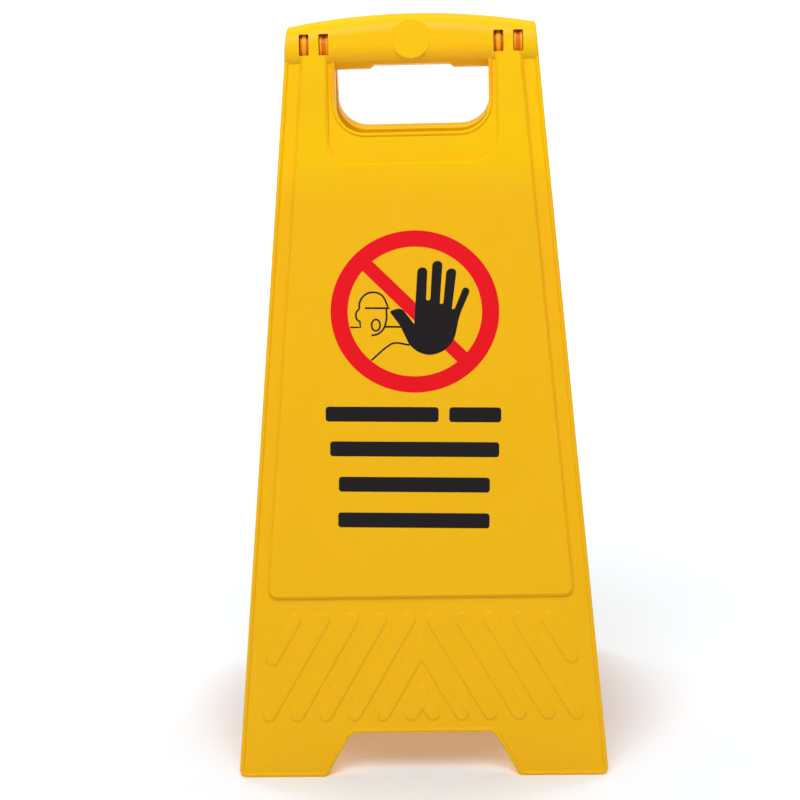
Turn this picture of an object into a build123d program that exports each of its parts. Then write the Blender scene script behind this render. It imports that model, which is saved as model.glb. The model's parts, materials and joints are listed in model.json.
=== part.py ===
from build123d import *
import os
from math import cos, radians, sin, tan

# Folding floor sign stand: two moulded panels hinged on pins inside a split handle.
# Millimetres, +Z up. The origin is on the floor, midway between the two panels' feet.
# The sign side of the front panel faces -Y, and +X is to its right.
# A panel is drawn standing straight: drops are measured down it from the hinge axis,
# and depths are measured forward from the plane where the two closed panels meet.

# Stance
lean = 13.0                     # degrees that each panel leans when the stand is open
seam = 0.3                      # each panel stops this far short of the other

# Panel outline
panel_length = 593.0
hinge_half_width = 101.8
foot_half_width = 150.0
foot_corner = 6.5
cutout_height = 35.7
cutout_half_width = 57.8
cutout_slant = 30.0             # degrees from the panel's length
cutout_corner = 8.0
foot_inner_corner = 6.0

# Panel section
border_depth = 12.2
wall = 2.6
flange = 2.4
rim_width = 3.8
rim_rise = 1.6
rim_outer_round = 1.7
rim_chamfer = 1.4

# Raised sign field with two arms that run up to the handle
sign_rise = 3.3
border_width = 13.5
sign_above_foot = 145.2
sign_corner = 8.0
sign_edge_chamfer = 2.0
arm_setback = 2.9               # from the lip of the hand opening
recess_margin = 21.0            # below that lip
recess_corner = 20.0
bend_below_recess = 13.0
arm_bend_radius = 600.0

# Hand opening
opening_half_width = 62.1
opening_bottom = 71.3
opening_corner = 24.0
lip_width = 3.0
lip_rise = 1.5
lip_chamfer = 1.0

# Chevron ribs below the sign field
rib_width = 12.6
rib_rise = 1.3
rib_draft = 55.0                # degrees that the sides of a rib slope
rib_slant = 30.5                # degrees from the panel's length
rib_pitch = 23.25
rib_first = 8.55
rib_count = 7
rib_below_sign = 17.9
rib_above_foot = 50.8
short_rib_drop = 31.0           # of the outermost pair, which ends early
chevron_tip_round = 4.5

# Stiffening ribs behind the sign field
cross_rib_thickness = 2.0
cross_rib_height = 5.0
cross_rib_count = 3

# Handle, split lengthwise between the panels
handle_depth = 18.0
handle_drop = 18.4
handle_end_height = 16.5
handle_crown = 25.9
handle_flat = 1.1               # at least this much stays flat beside the rounded edges
handle_end_chamfer = 1.0
handle_wall = 2.4
notch_depth = 2.5
notch_half_width = 30.5
notch_run = 3.5
medallion_radius = 16.2
medallion_height = 3.0
medallion_proud = 0.4
medallion_chamfer = 0.8

# Hinge inside the handle
pin_radius = 4.0
pin_head_radius = 6.0
pin_head_height = 2.5
pin_end = 1.0
pin_chamfer = 0.6
seat_clearance = 0.03
running_clearance = 0.08
bearing_radius = 8.5
bearing_thickness = 3.0
outer_bearing_inset = 6.8       # from the end of the handle
bearing_gap = 9.5               # from the inner window to the inner bearing
knuckle_side_gap = 0.5          # from the sides of its window
knuckle_rib_gap = 0.4           # from the inside of the handle
knuckle_rib_rise = 1.0
knuckle_rib_width = 3.2
knuckle_slot_width = 3.4
window_width = 7.8
window_height = 17.2
window_corner = 0.8
window_inset = 15.4             # of the outer window, from the end of the handle
window_pitch = 15.9

sign_depth = border_depth + sign_rise
rim_depth = border_depth + rim_rise
lip_depth = border_depth + lip_rise
sign_bottom = panel_length - sign_above_foot
arm_inner_half_width = opening_half_width + lip_width + arm_setback
recess_bottom = opening_bottom + lip_width + recess_margin
arm_bend = recess_bottom + bend_below_recess
rib_top = sign_bottom + rib_below_sign
rib_bottom = panel_length - rib_above_foot
rib_root = wall / 2              # how deep a rib is rooted in the wall
rib_root_width = rib_width + 2 * rib_root * tan(radians(rib_draft))
short_rib_bottom = rib_top + short_rib_drop
cross_rib_pitch = (sign_bottom - recess_bottom) / (cross_rib_count + 1)
handle_round = min(handle_depth, (handle_drop + handle_end_height) / 2) - handle_flat
outer_window = hinge_half_width - window_inset
inner_window = outer_window - window_pitch
inner_bearing = inner_window - bearing_gap
outer_bearing = hinge_half_width - outer_bearing_inset
knuckle_width = window_width - 2 * knuckle_side_gap
knuckle_rib_radius = min(handle_depth, handle_drop) - handle_wall - knuckle_rib_gap
knuckle_radius = knuckle_rib_radius - knuckle_rib_rise
knuckle_fork_width = (knuckle_width - knuckle_slot_width) / 2
hinge_height = panel_length * cos(radians(lean)) - rim_depth * sin(radians(lean))
foot_wedge = rim_depth * tan(radians(lean))
far = 2 * panel_length
tiny = 0.01


def half_width(drop):
    """Half of the panel's width at a drop below the hinge axis."""
    taper = (foot_half_width - hinge_half_width) / panel_length
    return hinge_half_width + taper * drop


def block(sketch, near, deep, draft=0):
    """Extrude a sketch of the panel's front view from one depth to another, narrowing by a draft."""
    plane = Plane(origin=(0, -near, 0), x_dir=(1, 0, 0), z_dir=(0, -1, 0))
    return extrude(plane * sketch, amount=deep - near, taper=draft)


def side_section(points):
    """Side view bounded by (depth, drop) points."""
    corners = [(0, -depth, -drop) for depth, drop in points]
    return make_face(Polyline(*corners, close=True))


def side_block(section):
    """Extrude a side view right across the panel."""
    return extrude(section, amount=foot_half_width, dir=(1, 0, 0), both=True)


def mirrored_face(right_half):
    """Face bounded by (x, drop) points on the right and by their mirror image."""
    right = [(x, -drop) for x, drop in right_half]
    left = [(-x, z) for x, z in reversed(right)]
    return make_face(Polyline(*right, *left, close=True))


def round_corners(sketch, x, drop, radius):
    """Round the corner at (x, drop) of a front view, and its mirror image."""
    corners = [v for v in sketch.vertices() if abs(abs(v.X) - x) < tiny and abs(v.Y + drop) < tiny]
    return fillet(corners, radius)


def front_face(solid):
    """The face of a block that lies furthest forward."""
    return solid.faces().sort_by(Axis.Y)[0]


def panel_outline():
    """Front view of the panel, with the cut-out between its feet."""
    cutout_top = panel_length - cutout_height
    foot_inner = cutout_half_width + cutout_height * tan(radians(cutout_slant))
    outline = mirrored_face([
        (half_width(0), 0),
        (foot_half_width, panel_length),
        (foot_inner, panel_length),
        (cutout_half_width, cutout_top),
    ])
    outline = round_corners(outline, foot_half_width, panel_length, foot_corner)
    outline = round_corners(outline, foot_inner, panel_length, foot_inner_corner)
    return round_corners(outline, cutout_half_width, cutout_top, cutout_corner)


def opening_sketch(grow):
    """Front view of the hand opening, grown all round."""
    half = opening_half_width + grow
    bottom = opening_bottom + grow
    opening = mirrored_face([(half, 0), (half, bottom)])
    return round_corners(opening, half, bottom, opening_corner + grow)


def sign_sketch():
    """Front view of the raised sign field and its arms."""
    sign = mirrored_face([
        (half_width(0) - border_width, 0),
        (half_width(sign_bottom) - border_width, sign_bottom),
    ])
    sign = round_corners(sign, half_width(sign_bottom) - border_width, sign_bottom, sign_corner)
    recess = mirrored_face([(arm_inner_half_width, 0), (arm_inner_half_width, recess_bottom)])
    return sign - round_corners(recess, arm_inner_half_width, recess_bottom, recess_corner)


def in_front_of_sign(inset):
    """Everything in front of the sign face and of the arms that slope up to the handle."""
    section = side_section([
        (sign_depth - inset, far),
        (sign_depth - inset, arm_bend),
        (handle_depth - inset, 0),
        (handle_depth - inset, -far),
        (far, -far),
        (far, far),
    ])
    bend = [v for v in section.vertices() if abs(v.Z + arm_bend) < tiny]
    return side_block(fillet(bend, arm_bend_radius))


def raised_sign():
    """Sign field with sloped edges."""
    field = block(sign_sketch(), border_depth - wall, far) - in_front_of_sign(0)
    sloped = []
    for edge in field.edges():
        box = edge.bounding_box()
        on_front = box.max.Y < -sign_depth + tiny
        level = box.size.Z < tiny
        on_edge = min(abs(box.max.Z + sign_bottom), abs(box.max.Z + recess_bottom)) < tiny
        if on_front and (on_edge or not level):
            sloped.append(edge)
    return chamfer(sloped, sign_edge_chamfer)


def rim():
    """Bead along the panel's edge."""
    outline = panel_outline()
    bead = block(outline - offset(outline, -rim_width), seam, rim_depth)
    bead = fillet(front_face(bead).outer_wire().edges(), rim_outer_round)
    return chamfer(front_face(bead).inner_wires()[0].edges(), rim_chamfer)


def opening_lip():
    """Raised lip round the hand opening."""
    ring = opening_sketch(lip_width) - opening_sketch(0)
    lip = block(ring, seam, lip_depth)
    return chamfer(front_face(lip).edges(), lip_chamfer)


def chevron_ribs():
    """Slanted ribs in mirrored pairs, the innermost two meeting in points."""
    slope = tan(radians(rib_slant))
    ribs = []
    for index in range(rib_count):
        low_x = rib_first + rib_pitch * index
        low = rib_bottom
        top = max(rib_top, rib_bottom - low_x / slope)
        if index == rib_count - 1:
            low = short_rib_bottom
        low_end = Vector(low_x - (rib_bottom - low) * slope, -low)
        top_end = Vector(low_x - (rib_bottom - top) * slope, -top)
        middle = (low_end + top_end) / 2
        length = (top_end - low_end).length
        slot = Pos(middle.X, middle.Y) * SlotCenterToCenter(length, rib_root_width, rotation=90 + rib_slant)
        pair = slot + mirror(slot, about=Plane.YZ)
        if top > rib_top:
            pair += chevron_tip(top)
            tip = [v for v in pair.vertices() if abs(v.X) < tiny and v.Y > rib_root_width / 2 - top]
            pair = fillet(tip, chevron_tip_round)
        for face in pair.faces():
            ribs.append(block(face, border_depth - rib_root, border_depth + rib_rise, rib_draft))
    return ribs


def chevron_tip(drop):
    """Pointed filling between the two legs of a chevron."""
    slant = radians(rib_slant)
    half = rib_root_width / 2
    tip = Polyline(
        (0, -drop + half / sin(slant)),
        (half * cos(slant), -drop + half * sin(slant)),
        (0, -drop),
        (-half * cos(slant), -drop + half * sin(slant)),
        close=True,
    )
    return make_face(tip)


def handle_body(inset):
    """Both halves of the crowned handle as one rounded solid, drawn in all round."""
    drop = handle_drop - inset
    end = handle_end_height - inset
    low = half_width(drop) - inset
    high = half_width(-end) - inset
    depth = handle_depth - inset
    outline = make_face([
        Line((-low, -drop), (low, -drop)),
        Line((low, -drop), (high, end)),
        ThreePointArc((high, end), (0, handle_crown - inset), (-high, end)),
        Line((-high, end), (-low, -drop)),
    ])
    body = block(outline, -depth, depth)
    long_edges = [e for e in body.edges() if e.bounding_box().size.X > high]
    body = fillet(long_edges, handle_round - inset)
    if inset == 0:
        ends = body.faces().sort_by(Axis.X)
        body = chamfer(ends[0].edges() + ends[-1].edges(), handle_end_chamfer)
    notch = mirrored_face([
        (notch_half_width + inset, drop - notch_depth),
        (notch_half_width + inset + notch_run, drop),
        (notch_half_width + inset + notch_run, far),
    ])
    return body - block(notch, -far, far)


def panel_space():
    """Room that one panel may fill: up to the seam below the hinge, and up to the
    upright plane through the hinge above it when the panel leans."""
    top = (seam + far * sin(radians(lean)), -far * cos(radians(lean)))
    return side_block(side_section([(seam, far), (seam, 0), top, (far, -far), (far, far)]))


def plate(x, radius, half_height, thickness, bore):
    """Web across the handle from its front wall to a bored ring on the hinge axis."""
    ring = Circle(radius) + Pos(-handle_depth / 2, 0) * Rectangle(handle_depth, 2 * half_height)
    web = extrude(Plane.YZ * (ring - Circle(bore)), amount=thickness / 2, both=True)
    return Pos(x, 0, 0) * web


def medallion():
    """Plain disc on the front of the handle."""
    disc = block(Pos(0, medallion_height) * Circle(medallion_radius), 0, handle_depth + medallion_proud)
    return chamfer(front_face(disc).edges(), medallion_chamfer)


def cross_ribs():
    """Low ribs across the back of the sign field, stepped to follow its raised middle."""
    back = sign_depth - wall - cross_rib_height
    ribs = []
    for index in range(cross_rib_count):
        drop = recess_bottom + cross_rib_pitch * (index + 1)
        across = Rectangle(2 * half_width(drop) - flange, cross_rib_thickness)
        behind_sign = Rectangle(2 * (half_width(drop) - border_width - wall), cross_rib_thickness)
        ribs.append(block(Pos(0, -drop) * across, back, border_depth - wall / 2))
        ribs.append(block(Pos(0, -drop) * behind_sign, back, sign_depth - wall / 2))
    return ribs


def moulded_panel():
    """Panel shell with its half of the handle, before the hinge is added."""
    outline = panel_outline()
    body = block(outline, seam, border_depth) + [rim(), raised_sign(), opening_lip()] + chevron_ribs()
    body -= block(opening_sketch(0), -far, far)
    body += handle_body(0) + medallion()
    tray_top = handle_drop + flange
    tray_bottom = panel_length - foot_wedge - flange
    tray_window = mirrored_face([(far, tray_top), (far, tray_bottom)])
    tray = (offset(outline, -flange) & tray_window) - opening_sketch(lip_width)
    sign_hollow = block(offset(sign_sketch(), -wall) & tray_window, 0, far) - in_front_of_sign(wall)
    body -= block(tray, -far, border_depth - wall)
    body -= sign_hollow
    body -= handle_body(handle_wall)
    return (body + cross_ribs()) & panel_space()


def front_panel():
    """Front panel: two windows in the handle, and a bearing beyond each, on either side."""
    panel = moulded_panel()
    bore = pin_radius + seat_clearance
    window = RectangleRounded(window_width, window_height, window_corner)
    for side in (-1, 1):
        for place in (inner_window, outer_window):
            panel -= block(Pos(side * place, 0) * window, handle_depth / 2, far)
        for place in (inner_bearing, outer_bearing):
            web = plate(side * place, bearing_radius, bearing_radius, bearing_thickness, bore)
            panel += web & handle_body(handle_wall / 2)
    return panel


def knuckle(x, ribs):
    """Barrel turning on the hinge pin, with raised ribs given by their offset and width."""
    bore = pin_radius + running_clearance
    barrel = plate(x, knuckle_radius, bearing_radius, knuckle_width, bore)
    for rib_offset, width in ribs:
        barrel += plate(x + rib_offset, knuckle_rib_radius, bearing_radius, width, bore)
    return barrel & handle_body(handle_wall / 2)


def rear_panel():
    """Rear panel: two knuckles on each side, behind the front panel's windows, where a knuckle
    with one rib takes turns with a forked one."""
    panel = moulded_panel()
    fork_offset = (knuckle_width - knuckle_fork_width) / 2
    single = [(0, knuckle_rib_width)]
    forked = [(-fork_offset, knuckle_fork_width), (fork_offset, knuckle_fork_width)]
    panel += knuckle(-outer_window, forked)
    panel += knuckle(-inner_window, single)
    panel += knuckle(inner_window, forked)
    panel += knuckle(outer_window, single)
    return panel


def hinge_pin():
    """Headed pin along +X, from inside the handle to just past the outer bearing."""
    head_face = inner_bearing - bearing_thickness / 2 - seat_clearance
    tip = outer_bearing + bearing_thickness / 2 + pin_end
    along = Plane(origin=(head_face - pin_head_height, 0, 0), z_dir=(1, 0, 0))
    head = extrude(along * Circle(pin_head_radius), amount=pin_head_height)
    shank = extrude(along * Circle(pin_radius), amount=tip - head_face + pin_head_height)
    shank = chamfer(shank.edges().sort_by(Axis.X)[-1], pin_chamfer)
    return head + shank


def stand_open(panel, turn):
    """Lean a panel on the floor, turned about the upright axis."""
    leaning = Pos(0, 0, hinge_height) * Rot(0, 0, turn) * Rot(-lean, 0, 0) * panel
    return split(leaning, bisect_by=Plane.XY, keep=Keep.TOP)


os.makedirs("parts", exist_ok=True)
right_pin = Pos(0, 0, hinge_height) * hinge_pin()
nodes = {
    "front_panel": stand_open(front_panel(), 0),
    "rear_panel": stand_open(rear_panel(), 180),
    "hinge_pin_right": right_pin,
    "hinge_pin_left": mirror(right_pin, about=Plane.YZ),
}
for name, solid in nodes.items():
    export_step(solid, f"parts/{name}.step")
    box = solid.bounding_box()
    size = f"{box.size.X:.1f} x {box.size.Y:.1f} x {box.size.Z:.1f} mm"
    print(f"{name}: {solid.volume / 1000:.1f} cm3, {size}")
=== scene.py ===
# %% [markdown]
# A folding floor sign stand. Two yellow moulded panels lean on each other like the letter A,
# hinged inside a handle that is split lengthwise between them. The solids come from the frame
# at their real size, in metres, so this lesson only gives them their finish, prints the sign
# on the front panel, and sets up the studio. Nothing here moves or resizes a solid.

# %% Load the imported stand
import json
from math import cos, radians, sin
import bmesh
import bpy
from mathutils import Matrix, Vector


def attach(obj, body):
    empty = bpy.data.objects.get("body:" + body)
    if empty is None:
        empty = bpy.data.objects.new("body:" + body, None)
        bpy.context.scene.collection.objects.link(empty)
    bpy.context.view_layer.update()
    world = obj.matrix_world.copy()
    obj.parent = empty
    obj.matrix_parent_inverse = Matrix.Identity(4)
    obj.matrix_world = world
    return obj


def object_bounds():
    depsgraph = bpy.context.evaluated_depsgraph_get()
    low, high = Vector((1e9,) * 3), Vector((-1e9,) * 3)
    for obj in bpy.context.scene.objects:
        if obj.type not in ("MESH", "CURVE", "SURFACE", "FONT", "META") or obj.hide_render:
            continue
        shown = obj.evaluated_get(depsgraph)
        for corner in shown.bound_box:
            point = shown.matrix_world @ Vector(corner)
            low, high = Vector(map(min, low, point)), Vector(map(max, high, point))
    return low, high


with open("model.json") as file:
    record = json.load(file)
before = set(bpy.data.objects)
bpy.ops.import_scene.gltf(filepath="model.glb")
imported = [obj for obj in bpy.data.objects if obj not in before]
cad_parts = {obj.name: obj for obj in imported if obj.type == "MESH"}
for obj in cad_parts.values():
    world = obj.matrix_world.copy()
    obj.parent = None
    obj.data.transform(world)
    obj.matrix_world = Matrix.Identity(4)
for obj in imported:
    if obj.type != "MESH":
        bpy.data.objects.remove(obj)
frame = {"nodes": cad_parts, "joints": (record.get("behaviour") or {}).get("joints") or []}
cad_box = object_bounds()
print("solids:", sorted(frame["nodes"]), "box:", [list(corner) for corner in cad_box])

# %% [markdown]
# The camera comes first, because every later choice is judged through it. It could be turned
# by eye, but a photograph of a known shape fixes it: where it stands round the object, how
# high, how far, and how long its lens is. The picture is square, with a sensor 36 mm wide.

# %% Camera
mm = 0.001
camera_yaw = radians(2.914)
camera_height_angle = radians(13.893)
camera_roll = radians(-1.640)
camera_aim = Vector((-17.7, 0, 278.2)) * mm
camera_distance = 1881.6 * mm
sensor_width = 36.0
picture_width = 800
focal_pixels = 2227.3

toward_camera = Vector((
    sin(camera_yaw) * cos(camera_height_angle),
    -cos(camera_yaw) * cos(camera_height_angle),
    sin(camera_height_angle),
))
level_right = Vector((0, 0, 1)).cross(toward_camera).normalized()
level_up = toward_camera.cross(level_right)
right = level_right * cos(camera_roll) + level_up * sin(camera_roll)
up = level_up * cos(camera_roll) - level_right * sin(camera_roll)
camera_turn = Matrix((right, up, toward_camera)).transposed().to_4x4()

lens = bpy.data.cameras.new("portrait_lens")
lens.sensor_width = sensor_width
lens.lens = sensor_width * focal_pixels / picture_width
camera = bpy.data.objects.new("portrait_camera", lens)
bpy.context.scene.collection.objects.link(camera)
camera.matrix_world = Matrix.Translation(camera_aim + toward_camera * camera_distance) @ camera_turn
bpy.context.scene.camera = camera
print("camera at", list(camera.location), "lens", lens.lens)

# %% [markdown]
# A material is a small graph of nodes. It could be built node by node, but then the recipe is
# lost among the wires. So one helper adds a node and sets its sockets, one starts an empty
# material, and one makes a shader the surface of its material.

# %% Helpers for materials
def node(tree, kind, inputs=None, **settings):
    """Add a node, set its properties and its input sockets, and return it."""
    made = tree.nodes.new(kind)
    for name, value in settings.items():
        setattr(made, name, value)
    for name, value in (inputs or {}).items():
        if isinstance(value, bpy.types.NodeSocket):
            tree.links.new(value, made.inputs[name])
        else:
            made.inputs[name].default_value = value
    return made


def new_material(name):
    """An empty node material and its tree."""
    material = bpy.data.materials.new(name)
    material.use_nodes = True
    material.node_tree.nodes.clear()
    return material, material.node_tree


def show(tree, shader):
    """Make a shader the surface of its material."""
    node(tree, "ShaderNodeOutputMaterial", {"Surface": shader.outputs[0]})


print("plain materials of the frame:", sorted(material.name for material in bpy.data.materials))

# %% [markdown]
# The finishes differ from place to place, so they need a little arithmetic on sockets. One
# helper does a single step of it, one measures a distance, and one turns a value into a share
# between 0 and 1. No surface is quite even, so another makes noise, which wanders over a
# surface, and one moves a value between two ends with it.

# %% Helpers for values
noise_low = 0.3
noise_high = 0.7


def maths(tree, operation, first, second=0.0):
    """Result of one step of arithmetic."""
    return node(tree, "ShaderNodeMath", {0: first, 1: second}, operation=operation).outputs["Value"]


def step_at(tree, value, start, end):
    """Share that grows from 0 to 1 while a value goes from start to end."""
    share = node(tree, "ShaderNodeMapRange", {"Value": value, "From Min": start, "From Max": end})
    return share.outputs["Result"]


def distance(tree, first, second=(0, 0, 0)):
    """Distance between two points."""
    apart = node(tree, "ShaderNodeVectorMath", {0: first, 1: second}, operation="DISTANCE")
    return apart.outputs["Value"]


def noise(tree, place, scale, detail):
    """Share that wanders over a surface, in finer spots where the scale is higher."""
    spots = node(tree, "ShaderNodeTexNoise", {"Vector": place, "Scale": scale, "Detail": detail})
    return spots.outputs["Fac"]


def varied(tree, wandering, low, high):
    """Value that noise moves between two ends."""
    value = node(tree, "ShaderNodeMapRange", {
        "Value": wandering, "From Min": noise_low, "From Max": noise_high,
        "To Min": low, "To Max": high,
    })
    return value.outputs["Result"]


print("noise lies mostly between", noise_low, "and", noise_high)

# %% [markdown]
# A colour is easiest to judge as a screen shows it, in steps from 0 to 255, but shaders take
# linear light. One helper turns the one into the other. Another mixes two colours by a share.
# The Mix node has sockets of several kinds under the same names, so its colours are taken by
# number: 0 is the share, 6 and 7 are the two colours, and output 2 is the mixed one.

# %% Helpers for colours
def from_screen(red, green, blue):
    """A colour as a screen shows it, 0 to 255, as the linear colour that shaders take."""
    shares = [value / 255 for value in (red, green, blue)]
    linear = [s / 12.92 if s <= 0.04045 else ((s + 0.055) / 1.055) ** 2.4 for s in shares]
    return (*linear, 1.0)


def mix_colours(tree, share, first, second):
    """Colour that goes from the first to the second as the share goes from 0 to 1."""
    return node(tree, "ShaderNodeMix", {0: share, 6: first, 7: second}, data_type="RGBA").outputs[2]


print("screen grey 128 is", round(from_screen(128, 128, 128)[0], 3), "in linear light")

# %% [markdown]
# The panels are injection moulded polypropylene: one strong yellow all through, a soft gloss,
# and a skin that is never quite even. A flat colour would look like paint on a screen, so slow
# noise shifts the gloss a little, and fine noise gives the skin its grain. The colour itself
# comes from a recipe of each piece's own, so that one function finishes them all.

# %% Moulded plastic
gloss_scale = 40.0
gloss_detail = 4.0
glossier = 0.05
duller = 0.06
grain_scale = 1600.0
grain_detail = 2.0
grain_strength = 0.06
grain_depth = 0.2 * mm
plastic_ior = 1.49
plastic_specular = 0.15


def moulded_plastic(name, tint_recipe, roughness):
    """Semi-gloss moulded plastic with uneven gloss and a fine grain."""
    material, tree = new_material(name)
    place = node(tree, "ShaderNodeTexCoord").outputs["Object"]
    patches = noise(tree, place, gloss_scale, gloss_detail)
    grain = noise(tree, place, grain_scale, grain_detail)
    skin = node(tree, "ShaderNodeBump", {
        "Height": grain, "Strength": grain_strength, "Distance": grain_depth,
    })
    plastic = node(tree, "ShaderNodeBsdfPrincipled", {
        "Base Color": tint_recipe(tree, place),
        "Roughness": varied(tree, patches, roughness - glossier, roughness + duller),
        "Normal": skin.outputs["Normal"],
        "IOR": plastic_ior,
        "Specular IOR Level": plastic_specular,
    })
    show(tree, plastic)
    print("made", material.name, "with", len(tree.nodes), "nodes")
    return material


print("grain of the skin:", round(grain_depth / mm, 2), "mm deep")

# %% [markdown]
# A little light passes through the plastic, and that light is painted into the yellow: painted
# lighter on the handle and its arms, and calmer on the sign field. The colour could be painted by
# hand, but the height above or below the hinge tells the two apart, and one share leads from the
# one to the other. The hinge is the stand's only joint, so the frame says where it is. Everywhere
# the yellow also drifts a little toward a deeper shade, as pigment does in a moulding.

# %% Yellow over the height, with painted light
hinge = frame["joints"][0]
# painted light: the yellow above the sign field is lighter, for light through the plastic
painted_light_yellow = from_screen(251, 198, 2)
sign_yellow = from_screen(247, 187, 20)
deep_yellow = from_screen(244, 184, 14)
sign_ends = -120 * mm
arms_start = -90 * mm
drift_scale = 14.0
drift_detail = 3.0
drift_none = 0.3
drift_whole = 1.2


def from_hinge(tree, place):
    """Sockets X, Y and Z of a point as measured from the hinge."""
    offset = node(tree, "ShaderNodeVectorMath", {0: place, 1: hinge["pos_m"]}, operation="SUBTRACT")
    return node(tree, "ShaderNodeSeparateXYZ", {"Vector": offset.outputs["Vector"]}).outputs


def painted_light_by_height(tree, offset):
    """Calm yellow on the sign field and a painted lighter yellow above it."""
    share = step_at(tree, offset["Z"], sign_ends, arms_start)
    return mix_colours(tree, share, sign_yellow, painted_light_yellow)


def drifting(tree, place, colour):
    """A colour that drifts a little toward deep yellow."""
    drift = noise(tree, place, drift_scale, drift_detail)
    return mix_colours(tree, step_at(tree, drift, drift_none, drift_whole), colour, deep_yellow)


print("hinge", round(hinge["pos_m"][2] / mm, 1), "mm above the floor")

# %% [markdown]
# The underside of the handle is warmer: it sees the yellow sign below it, and light comes through
# the hollow handle from above. Tracing that light through the walls is slow, so it is painted into
# the colour as painted bounce light: between the arms the lighter yellow turns warm from the front
# of the handle downward, while the flat disc in the middle, which faces forward, stays without it.

# %% Yellow of the panels, with painted bounce light
# painted bounce light: the warm yellow under the handle
painted_bounce_yellow = from_screen(255, 182, 24)
clear_above = 6.5 * mm
warm_below = -6.5 * mm
opening_middle = -40 * mm
between_arms = 64 * mm
on_the_arms = 67 * mm
disc_rise = 7.1 * mm
disc_radius = 16.2 * mm
panel_roughness = 0.34


def painted_bounce_under_handle(tree, offset):
    """Share of painted bounce light: 1 under the handle between the arms, and 0 elsewhere."""
    share = step_at(tree, offset["Z"], clear_above, warm_below)
    sideways = maths(tree, "ABSOLUTE", offset["X"])
    upright = node(tree, "ShaderNodeCombineXYZ", {"X": offset["X"], "Z": offset["Z"]})
    from_disc = distance(tree, upright.outputs["Vector"], (0, 0, disc_rise))
    limits = [
        maths(tree, "GREATER_THAN", offset["Z"], opening_middle),
        step_at(tree, sideways, on_the_arms, between_arms),
        maths(tree, "GREATER_THAN", from_disc, disc_radius),
    ]
    for limit in limits:
        share = maths(tree, "MULTIPLY", share, limit)
    return share


def panel_tint_with_painted_light(tree, place):
    """Panel yellow: calm on the sign, painted lighter above it, and painted warm bounce under the
    handle.
    """
    offset = from_hinge(tree, place)
    under = painted_bounce_under_handle(tree, offset)
    yellow = mix_colours(tree, under, painted_light_by_height(tree, offset), painted_bounce_yellow)
    return drifting(tree, place, yellow)


front_plastic_with_painted_light = moulded_plastic("front_panel_plastic_with_painted_light", panel_tint_with_painted_light, panel_roughness)

# %% [markdown]
# The two hinge pins are made of the same plastic, duller all over and darker where they rub in
# their bearings. The wear could be drawn where it falls, but the pins hardly show between the
# panels, so noise that wanders between two close yellows is enough.

# %% Yellow of the pins
pin_yellow = from_screen(238, 178, 10)
rubbed_yellow = from_screen(229, 168, 12)
rub_scale = 90.0
rub_detail = 3.0
pin_roughness = 0.42


def pin_tint(tree, place):
    """Yellow of a pin, with rubbed patches."""
    return mix_colours(tree, noise(tree, place, rub_scale, rub_detail), pin_yellow, rubbed_yellow)


pin_finish = moulded_plastic("hinge_pin_finish", pin_tint, pin_roughness)

# %% [markdown]
# The knuckles of the rear panel sit deep inside the handle and show through the four windows.
# Light gets there mostly through the plastic, which turns it orange. Such light could be traced
# through the walls, but that is slow, so it is painted into the rear panel's yellow, which turns
# orange by the distance from the hinge's axis: a deep painted orange with painted shade on the
# barrels, which lie furthest in, a lighter painted orange on the ribs, and plain yellow from the
# wall of the handle outward and beyond the outer knuckles, where the handle is closed.

# %% Painted orange light on the knuckles
# painted light and shade: orange for light through the plastic, deeper on the barrels
barrel_painted_light = from_screen(230, 114, 14)
rib_painted_light = from_screen(248, 164, 28)
barrel_radius = 14.3 * mm
rib_radius = 15.1 * mm
handle_inside = 15.4 * mm
knuckles_end = 92 * mm
handle_end = 94 * mm


def rear_tint_with_painted_light(tree, place):
    """Yellow of the rear panel, with painted orange light and shade near the hinge's axis."""
    offset = from_hinge(tree, place)
    across = node(tree, "ShaderNodeCombineXYZ", {"Y": offset["Y"], "Z": offset["Z"]})
    radius = distance(tree, across.outputs["Vector"])
    on_ribs = step_at(tree, radius, barrel_radius, rib_radius)
    painted_knuckle_light = mix_colours(tree, on_ribs, barrel_painted_light, rib_painted_light)
    outside = step_at(tree, radius, rib_radius, handle_inside)
    beyond = step_at(tree, maths(tree, "ABSOLUTE", offset["X"]), knuckles_end, handle_end)
    plain = maths(tree, "MAXIMUM", outside, beyond)
    return mix_colours(tree, plain, painted_knuckle_light, panel_tint_with_painted_light(tree, place))


rear_plastic_with_painted_light = moulded_plastic("rear_panel_plastic_with_painted_light", rear_tint_with_painted_light, panel_roughness)

# %% [markdown]
# Each moulding is one plastic all through, so each solid gets one finish. It could be given to a
# copy, but a solid of the frame keeps its mesh as it is and carries a slot with a plain material.
# Dressing it means putting the finish into that slot instead.

# %% Dress the solids
def dress(name, material):
    """Give a solid of the frame its finish."""
    slots = frame["nodes"][name].material_slots
    for slot in slots:
        slot.material = material
    print(name, "wears", material.name, "- slots:", len(slots))


dress("front_panel", front_plastic_with_painted_light)
dress("rear_panel", rear_plastic_with_painted_light)
dress("hinge_pin_left", pin_finish)
dress("hinge_pin_right", pin_finish)

# %% [markdown]
# The sign is printed on the leaning face of the front panel. Drawing it in world coordinates
# would mix the lean into every number, so it is drawn flat, like artwork on paper, in
# millimetres from the middle of the ring: x to the right, y up, z out of the paper. One matrix
# then lays the paper on the sign field. The lean is half of the hinge's whole swing, and a ray
# sent at the panel finds how far the sign field lies in front of the hinge.

# %% Lay the artwork on the sign field
lean = radians((hinge["range_deg"][1] - hinge["range_deg"][0]) / 2)
panel_frame = Matrix.Translation(hinge["pos_m"]) @ Matrix.Rotation(-lean, 4, "X")
ring_across = -0.5
ring_drop = 216.4
artwork_turn = radians(-1.2)
ray_gap = 100

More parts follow.
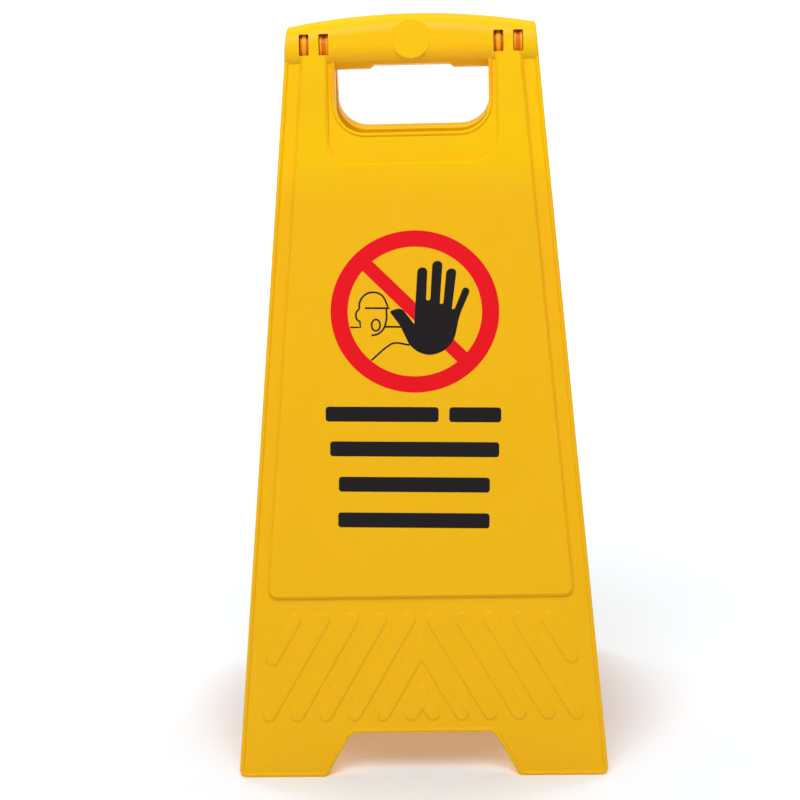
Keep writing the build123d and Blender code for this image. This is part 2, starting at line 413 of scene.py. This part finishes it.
ray_start = panel_frame @ Vector((0, -ray_gap * mm, -ring_drop * mm))
ray_way = panel_frame.to_3x3() @ Vector((0, 1, 0))
hit, ray_end, _, _ = frame["nodes"]["front_panel"].ray_cast(ray_start, ray_way)
sign_depth = -(panel_frame.inverted() @ ray_end).y / mm
sign_frame = (
    panel_frame
    @ Matrix.Scale(mm, 4)
    @ Matrix.Translation((ring_across, -sign_depth, -ring_drop))
    @ Matrix.Rotation(radians(90), 4, "X")
    @ Matrix.Rotation(artwork_turn, 4, "Z")
)
print("sign field found:", hit, "at", round(sign_depth, 3), "mm in front of the hinge")

# %% [markdown]
# The prints are screen-printed ink, which covers the yellow fully and dries to a soft sheen. It
# could be one flat colour, but ink takes unevenly to plastic, so faint mottling moves both its
# colour and its sheen.

# %% Printing ink
ink_red = from_screen(239, 16, 30)
worn_red = from_screen(235, 13, 28)
ink_black = from_screen(22, 17, 19)
worn_black = from_screen(26, 21, 23)
ink_roughness = 0.4
mottle_scale = 55.0
mottle_detail = 4.0
mottle_sheen = 0.04


def printed_ink(name, colour, worn_colour):
    """Opaque printing ink with faint mottling."""
    material, tree = new_material(name)
    place = node(tree, "ShaderNodeTexCoord").outputs["Object"]
    mottle = noise(tree, place, mottle_scale, mottle_detail)
    ink = node(tree, "ShaderNodeBsdfPrincipled", {
        "Base Color": mix_colours(tree, mottle, colour, worn_colour),
        "Roughness": varied(tree, mottle, ink_roughness - mottle_sheen, ink_roughness + mottle_sheen),
        "IOR": plastic_ior,
        "Specular IOR Level": plastic_specular,
    })
    show(tree, ink)
    print("made", material.name, "with", len(tree.nodes), "nodes")
    return material


red_ink = printed_ink("red_ink", ink_red, worn_red)
black_ink = printed_ink("black_ink", ink_black, worn_black)

# %% [markdown]
# A print is a thin film. A texture could show it, but a film of its own keeps a crisp edge at any
# size. Most prints start as a flat shape, such as a square that a matrix stretches, and its corners
# may be rounded. It is extruded to a film with its underside just inside the plastic, so that no
# gap shows at its edge, and then laid on the sign field. The film rides with the front panel when
# the stand folds.

# %% Helpers for films
ink_sunk = 0.05
red_proud = 0.08
black_proud = 0.12


def flat_square(shape, matrix):
    """Add a flat square, 1 wide, which a matrix stretches and places."""
    bmesh.ops.create_grid(shape, x_segments=1, y_segments=1, size=0.5, matrix=matrix)


def round_corners(shape, corners, rounding, segments):
    """Round corners of a flat shape, all by the same amount."""
    bmesh.ops.bevel(
        shape, geom=corners, offset=rounding, offset_type="OFFSET", affect="VERTICES",
        segments=segments, profile=0.5, material=-1)


def thicken(shape, proud):
    """Turn a flat shape into a closed film that stands proud of the sign field."""
    bmesh.ops.translate(shape, verts=shape.verts, vec=(0, 0, -ink_sunk))
    grown = bmesh.ops.extrude_face_region(shape, geom=shape.faces[:])
    top = [item for item in grown["geom"] if isinstance(item, bmesh.types.BMVert)]
    bmesh.ops.translate(shape, verts=top, vec=(0, 0, ink_sunk + proud))


def lay_on_sign(name, shape, material):
    """Lay a finished film on the sign field and let it ride with the front panel."""
    bmesh.ops.recalc_face_normals(shape, faces=shape.faces)
    closed = all(edge.is_manifold for edge in shape.edges)
    bmesh.ops.transform(shape, matrix=sign_frame, verts=shape.verts)
    mesh = bpy.data.meshes.new(name)
    shape.to_mesh(mesh)
    shape.free()
    mesh.materials.append(material)
    piece = bpy.data.objects.new(name, mesh)
    bpy.context.scene.collection.objects.link(piece)
    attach(piece, "front")
    print(name, len(mesh.polygons), "faces, closed:", closed)


print("films stand", red_proud, "and", black_proud, "mm proud")

# %% [markdown]
# The red ring is the border that every prohibition sign has, a little wider than it is tall
# here. It could be cut out of a disc, but two circles that are stretched to its outer and inner
# edges and bridged give the flat band at once, with even faces, and the band becomes a film.

# %% Red ring
ring_outer = (68.1, 65.45)
ring_inner = (54.3, 52.3)
ring_segments = 160


def red_ring():
    """Flat band between two stretched circles, as a film."""
    shape = bmesh.new()
    for across, upward in (ring_outer, ring_inner):
        stretch = Matrix.Diagonal((across, upward, 1, 1))
        bmesh.ops.create_circle(shape, segments=ring_segments, radius=1, matrix=stretch)
    bmesh.ops.bridge_loops(shape, edges=shape.edges[:])
    thicken(shape, red_proud)
    lay_on_sign("red_ring", shape, red_ink)


red_ring()

# %% [markdown]
# The slash crosses the ring from upper left to lower right. Its ends could be trimmed to the
# ring's inner edge, but a plain rectangle whose ends run a few millimetres under the ring leaves
# no gap. Its film is a hair thinner, so that the two prints never compete for the same surface.

# %% Red slash
slash_width = 11.1
slash_length = 120.0
slash_turn = radians(-43.5)
slash_thinner = 0.02


def red_slash():
    """Turned rectangle, as a film."""
    shape = bmesh.new()
    band = Matrix.Rotation(slash_turn, 4, "Z") @ Matrix.Diagonal((slash_length, slash_width, 1, 1))
    flat_square(shape, band)
    thicken(shape, red_proud - slash_thinner)
    lay_on_sign("red_slash", shape, red_ink)


red_slash()

# %% [markdown]
# The raised hand says stop. Its outline could be traced in many small steps, but then nothing
# about it could be changed by a single number. So it is drawn with straight edges and sharp
# corners, and each corner is then rounded by its own amount: half a finger's width at the finger
# tips, a little in the gaps between them, and a lot round the heel of the palm.

# %% Black hand
finger_tip = 3.7
finger_gap = 1.3
little_tip = 2.7
little_gap = 0.9
hand_segments = 8
hand_corners = [
    # x, y, rounding
    (2.1, 35.6, finger_tip),
    (10.1, 35.6, finger_tip),
    (9.1, 9.1, finger_gap),
    (12.5, 9.1, finger_gap),
    (14.2, 40.8, finger_tip),
    (22.3, 40.8, finger_tip),
    (20.1, 6.2, finger_gap),
    (23.0, 6.2, finger_gap),
    (25.6, 34.7, finger_tip),
    (33.7, 34.7, finger_tip),
    (29.9, 2.1, little_gap),
    (32.1, 2.1, little_gap),
    (39.4, 20.3, little_tip),
    (44.9, 18.0, little_tip),
    (36.0, -3.1, 5.9),
    (29.8, -34.9, 17.7),
    (-0.5, -34.9, 12.3),
    (-11.7, -11.4, 2.9),
    (-20.6, 0.2, 2.2),
    (-10.8, 3.2, 3.9),
    (-0.4, -10.3, 1.0),
]


def black_hand():
    """Open hand with every corner rounded by its own amount, as a film."""
    shape = bmesh.new()
    corners = [shape.verts.new((x, y, 0)) for x, y, _ in hand_corners]
    shape.faces.new(corners)
    for corner, (_, _, rounding) in zip(corners, hand_corners):
        round_corners(shape, [corner], rounding, hand_segments)
    thicken(shape, black_proud)
    lay_on_sign("black_hand", shape, black_ink)


black_hand()

# %% [markdown]
# Behind the hand stands a figure in a cap, drawn in thin lines as such signs have it. A line could
# be a narrow strip of faces, but a curve with a round section is easier to bend. So the lines are
# drawn as curves, made into meshes, joined to one print, and pressed flat to the height of the ink.

# %% Line figure
line_width = 1.5
line_roundness = 2
steps_between_points = 10
same_point = 0.001
figure_lines = [
    # smooth, closed, points
    (True, False, [
        (-45.0, 1.9), (-44.3, 8.0), (-40.2, 13.4), (-33.6, 15.4),
        (-27.0, 13.2), (-23.2, 7.4), (-21.9, 3.6)]),
    (False, False, [(-40.2, 2.6), (-20.4, 2.6)]),
    (True, False, [(-45.0, 1.9), (-47.2, -0.9), (-47.4, -4.6), (-46.1, -7.2), (-44.3, -8.1)]),
    (False, False, [(-44.4, -8.0), (-43.8, -12.9), (-52.2, -12.9)]),
    (True, False, [(-22.9, 2.0), (-23.1, -8.0), (-25.4, -14.3), (-29.4, -18.0), (-35.0, -19.5)]),
    (True, True, [(-31.4, -6.5), (-28.0, -11.1), (-31.4, -15.7), (-34.8, -11.1)]),
    (False, False, [(-23.9, -12.4), (-10.6, -12.4)]),
    (True, False, [(-35.0, -39.5), (-20.0, -27.0), (-16.8, -25.6), (-4.0, -27.0)]),
]


def line(shape, smooth, closed, points):
    """Add one line of the figure to a shape, as a tube."""
    curve = bpy.data.curves.new("line", "CURVE")
    curve.dimensions = "3D"
    curve.bevel_depth = line_width / 2
    curve.bevel_resolution = line_roundness
    curve.resolution_u = steps_between_points
    curve.use_fill_caps = True
    spline = curve.splines.new("BEZIER")
    spline.bezier_points.add(len(points) - 1)
    spline.use_cyclic_u = closed
    bend = "AUTO" if smooth else "VECTOR"
    for knot, (x, y) in zip(spline.bezier_points, points):
        knot.co = (x, y, 0)
        knot.handle_left_type = bend
        knot.handle_right_type = bend
    holder = bpy.data.objects.new("line", curve)
    mesh = bpy.data.meshes.new_from_object(holder)
    shape.from_mesh(mesh)
    bpy.data.objects.remove(holder)
    bpy.data.curves.remove(curve)
    bpy.data.meshes.remove(mesh)


def line_figure():
    """All the lines of the figure, joined and pressed flat."""
    shape = bmesh.new()
    for smooth, closed, points in figure_lines:
        line(shape, smooth, closed, points)
    bmesh.ops.remove_doubles(shape, verts=shape.verts, dist=same_point)
    bmesh.ops.scale(shape, verts=shape.verts, vec=(1, 1, 2 * black_proud / line_width))
    lay_on_sign("line_figure", shape, black_ink)


line_figure()

# %% [markdown]
# Below the ring the sign carries four rows of print, here plain bars with rounded corners. A bar
# could be a stretched copy of the first, but stretching would spoil the rounded corners. So each
# is a rectangle of its own length, and its corners are rounded before it becomes a film.

# %% Rows of bars
bar_height = 12.0
bar_round = 2.5
bar_segments = 6
bar_rows = [
    # y of the row's middle, then the left and right end of each bar
    (-83.1, [(-71.8, 19.6), (28.2, 70.1)]),
    (-111.2, [(-68.1, 68.6)]),
    (-139.8, [(-60.9, 61.2)]),
    (-168.7, [(-61.3, 61.1)]),
]


def bar(name, middle, left, right_end):
    """Rectangle with rounded corners, as a film."""
    shape = bmesh.new()
    centre = Matrix.Translation(((left + right_end) / 2, middle, 0))
    spread = centre @ Matrix.Diagonal((right_end - left, bar_height, 1, 1))
    flat_square(shape, spread)
    round_corners(shape, shape.verts[:], bar_round, bar_segments)
    thicken(shape, black_proud)
    lay_on_sign(name, shape, black_ink)


for row, (middle, ends) in enumerate(bar_rows, start=1):
    for count, (left, right_end) in enumerate(ends, start=1):
        bar(f"bar_{row}_{count}", middle, left, right_end)

# %% [markdown]
# The studio is a pale floor that runs far back, so that it is the background too. More light could
# make it white, but would burn out the stand. So the camera, and mirror-like rays, see a glow added
# to the floor, which lifts it to white without lighting the stand. The glow starts a little way
# from the middle of the stand, and grows with the distance, where the lamps no longer reach.

# %% White glow of the floor
open_glow = 0.13
open_from = 0.1
open_to = 0.22
far_glow = 0.74
far_from = 0.4
far_to = 3.0


def seen_directly(tree):
    """1 for rays of the camera and rays that gloss or glass sends on, and 0 for light."""
    rays = node(tree, "ShaderNodeLightPath").outputs
    mirrored = maths(tree, "MAXIMUM", rays["Is Glossy Ray"], rays["Is Transmission Ray"])
    return maths(tree, "MAXIMUM", rays["Is Camera Ray"], mirrored)


def open_floor(tree, place):
    """0 between the panels, and 1 on the open floor."""
    return step_at(tree, distance(tree, place), open_from, open_to)


def white_glow(tree, place):
    """White light of the open floor, seen by the camera and mirror-like rays alone."""
    beside = maths(tree, "MULTIPLY", open_floor(tree, place), open_glow)
    far_off = step_at(tree, distance(tree, place), far_from, far_to)
    beyond = maths(tree, "MULTIPLY", far_off, far_glow)
    glow = maths(tree, "ADD", beside, beyond)
    strength = maths(tree, "MULTIPLY", glow, seen_directly(tree))
    return node(tree, "ShaderNodeEmission", {"Strength": strength})


print("white glow from", open_from, "m outward, whole at", far_to, "m")

# %% [markdown]
# The yellow walls also throw warm light on the floor between them, more than the opaque solids give
# back. A coloured lamp between the panels would tint the panels too, so this is a second glow of
# the floor, warm, and only as strong as the walls close a spot in, which ambient occlusion measures.

# %% Warm glow between the panels
warm_strength = 0.34
warm_colour = from_screen(255, 160, 0)
warm_samples = 6
warm_reach = 0.6
warm_from = 0.36
warm_to = 0.65


def warm_glow(tree):
    """Warm light where walls close the floor in, seen by the camera and mirror-like rays alone."""
    walls = node(tree, "ShaderNodeAmbientOcclusion", {"Distance": warm_reach}, samples=warm_samples)
    closed_in = maths(tree, "SUBTRACT", 1.0, walls.outputs["AO"])
    between = step_at(tree, closed_in, warm_from, warm_to)
    glow = maths(tree, "MULTIPLY", between, warm_strength)
    strength = maths(tree, "MULTIPLY", glow, seen_directly(tree))
    return node(tree, "ShaderNodeEmission", {"Color": warm_colour, "Strength": strength})


print("warm glow where walls within", warm_reach, "m close in more than a share of", warm_from)

# %% [markdown]
# The floor itself is one large square of plain diffuse paint, which catches the shadow. One white
# could serve all over, but the yellow panels tint it, and little light reaches the underside of the
# handle. So the paint is a slightly cool white, and paler in the open than between the panels, where
# it throws more light up. The floor belongs to the stage and not to the stand.

# %% Floor
floor_half_width = 15.0
inner_paint = from_screen(208, 212, 215)
open_paint = from_screen(232, 237, 242)


def floor_material():
    """Pale paint with the two glows added."""
    material, tree = new_material("pale_floor")
    place = node(tree, "ShaderNodeTexCoord").outputs["Object"]
    pale = mix_colours(tree, open_floor(tree, place), inner_paint, open_paint)
    surface = node(tree, "ShaderNodeBsdfDiffuse", {"Color": pale})
    for glow in (white_glow(tree, place), warm_glow(tree)):
        surface = node(tree, "ShaderNodeAddShader", {0: surface.outputs[0], 1: glow.outputs[0]})
    show(tree, surface)
    return material


def make_floor():
    """One large square on the ground."""
    shape = bmesh.new()
    bmesh.ops.create_grid(shape, x_segments=1, y_segments=1, size=floor_half_width)
    mesh = bpy.data.meshes.new("floor")
    shape.to_mesh(mesh)
    shape.free()
    mesh.materials.append(floor_material())
    floor = bpy.data.objects.new("floor", mesh)
    bpy.context.scene.collection.objects.link(floor)
    return floor


floor = make_floor()
print("floor:", [round(side, 1) for side in floor.dimensions[:2]], "m")

# %% [markdown]
# The light is plain studio light. One bare lamp would throw hard shadows, so large softboxes are
# used, all turned to the middle of the stand. The strongest hangs high in front, so the handle's
# top is brightest and the panel fades a little toward its feet. Weak boxes at the sides and
# behind open the shadows. The level is such that a colour renders about as it is written.

# %% Lights
wide_box = (1.6, 1.2)
tall_box = (1.2, 1.6)
softboxes = [
    # name, place, width and height, power, whether gloss mirrors it
    ("front_softbox", (-0.12, -1.3, 2.2), wide_box, 38.5, True),
    ("top_softbox", (0.0, 0.9, 2.2), wide_box, 15, False),
    ("left_softbox", (-2.2, -0.6, 1.2), tall_box, 1.5, True),
    ("right_softbox", (2.2, -0.6, 1.2), tall_box, 1.5, True),
    ("back_left_softbox", (-1.9, 1.5, 1.3), tall_box, 14, False),
    ("back_right_softbox", (1.9, 1.5, 1.3), tall_box, 14, False),
]
stand_middle = (cad_box[0] + cad_box[1]) / 2


def softbox(name, place, size, power, mirrored):
    """A rectangular lamp that is turned to the middle of the stand."""
    lamp = bpy.data.lights.new(name, "AREA")
    lamp.shape = "RECTANGLE"
    lamp.size, lamp.size_y = size
    lamp.energy = power
    lamp_object = bpy.data.objects.new(name, lamp)
    bpy.context.scene.collection.objects.link(lamp_object)
    lamp_object.location = place
    direction = stand_middle - Vector(place)
    lamp_object.rotation_euler = direction.to_track_quat("-Z", "Y").to_euler()
    lamp_object.visible_glossy = mirrored
    print(name, power, "W at", place)


for settings in softboxes:
    softbox(*settings)

# %% [markdown]
# An even pale surround fills the rest, as the walls of a white room would. Walls could be built,
# but a world of one colour lights every side alike. A low camera also sees it, beyond the far
# edge of the floor, so close to the horizon it is white to the camera and to mirror-like rays,
# and gives no more light than elsewhere.

# %% Surround
surround_colour = (1, 1, 1, 1)
surround_level = 0.27
horizon_white_to = 0.2
horizon_fades_to = 0.35

world = bpy.data.worlds.new("studio")
world.use_nodes = True
sky = world.node_tree
direction = node(sky, "ShaderNodeTexCoord").outputs["Generated"]
height = node(sky, "ShaderNodeSeparateXYZ", {"Vector": direction}).outputs["Z"]
low = step_at(sky, height, horizon_fades_to, horizon_white_to)
seen_low = maths(sky, "MULTIPLY", low, seen_directly(sky))
extra = maths(sky, "MULTIPLY", seen_low, 1 - surround_level)
background = sky.nodes["Background"]
background.inputs["Color"].default_value = surround_colour
sky.links.new(maths(sky, "ADD", extra, surround_level), background.inputs["Strength"])
bpy.context.scene.world = world
bpy.context.scene.view_settings.view_transform = "Standard"
print("surround at", surround_level, "with", len(sky.nodes), "nodes")
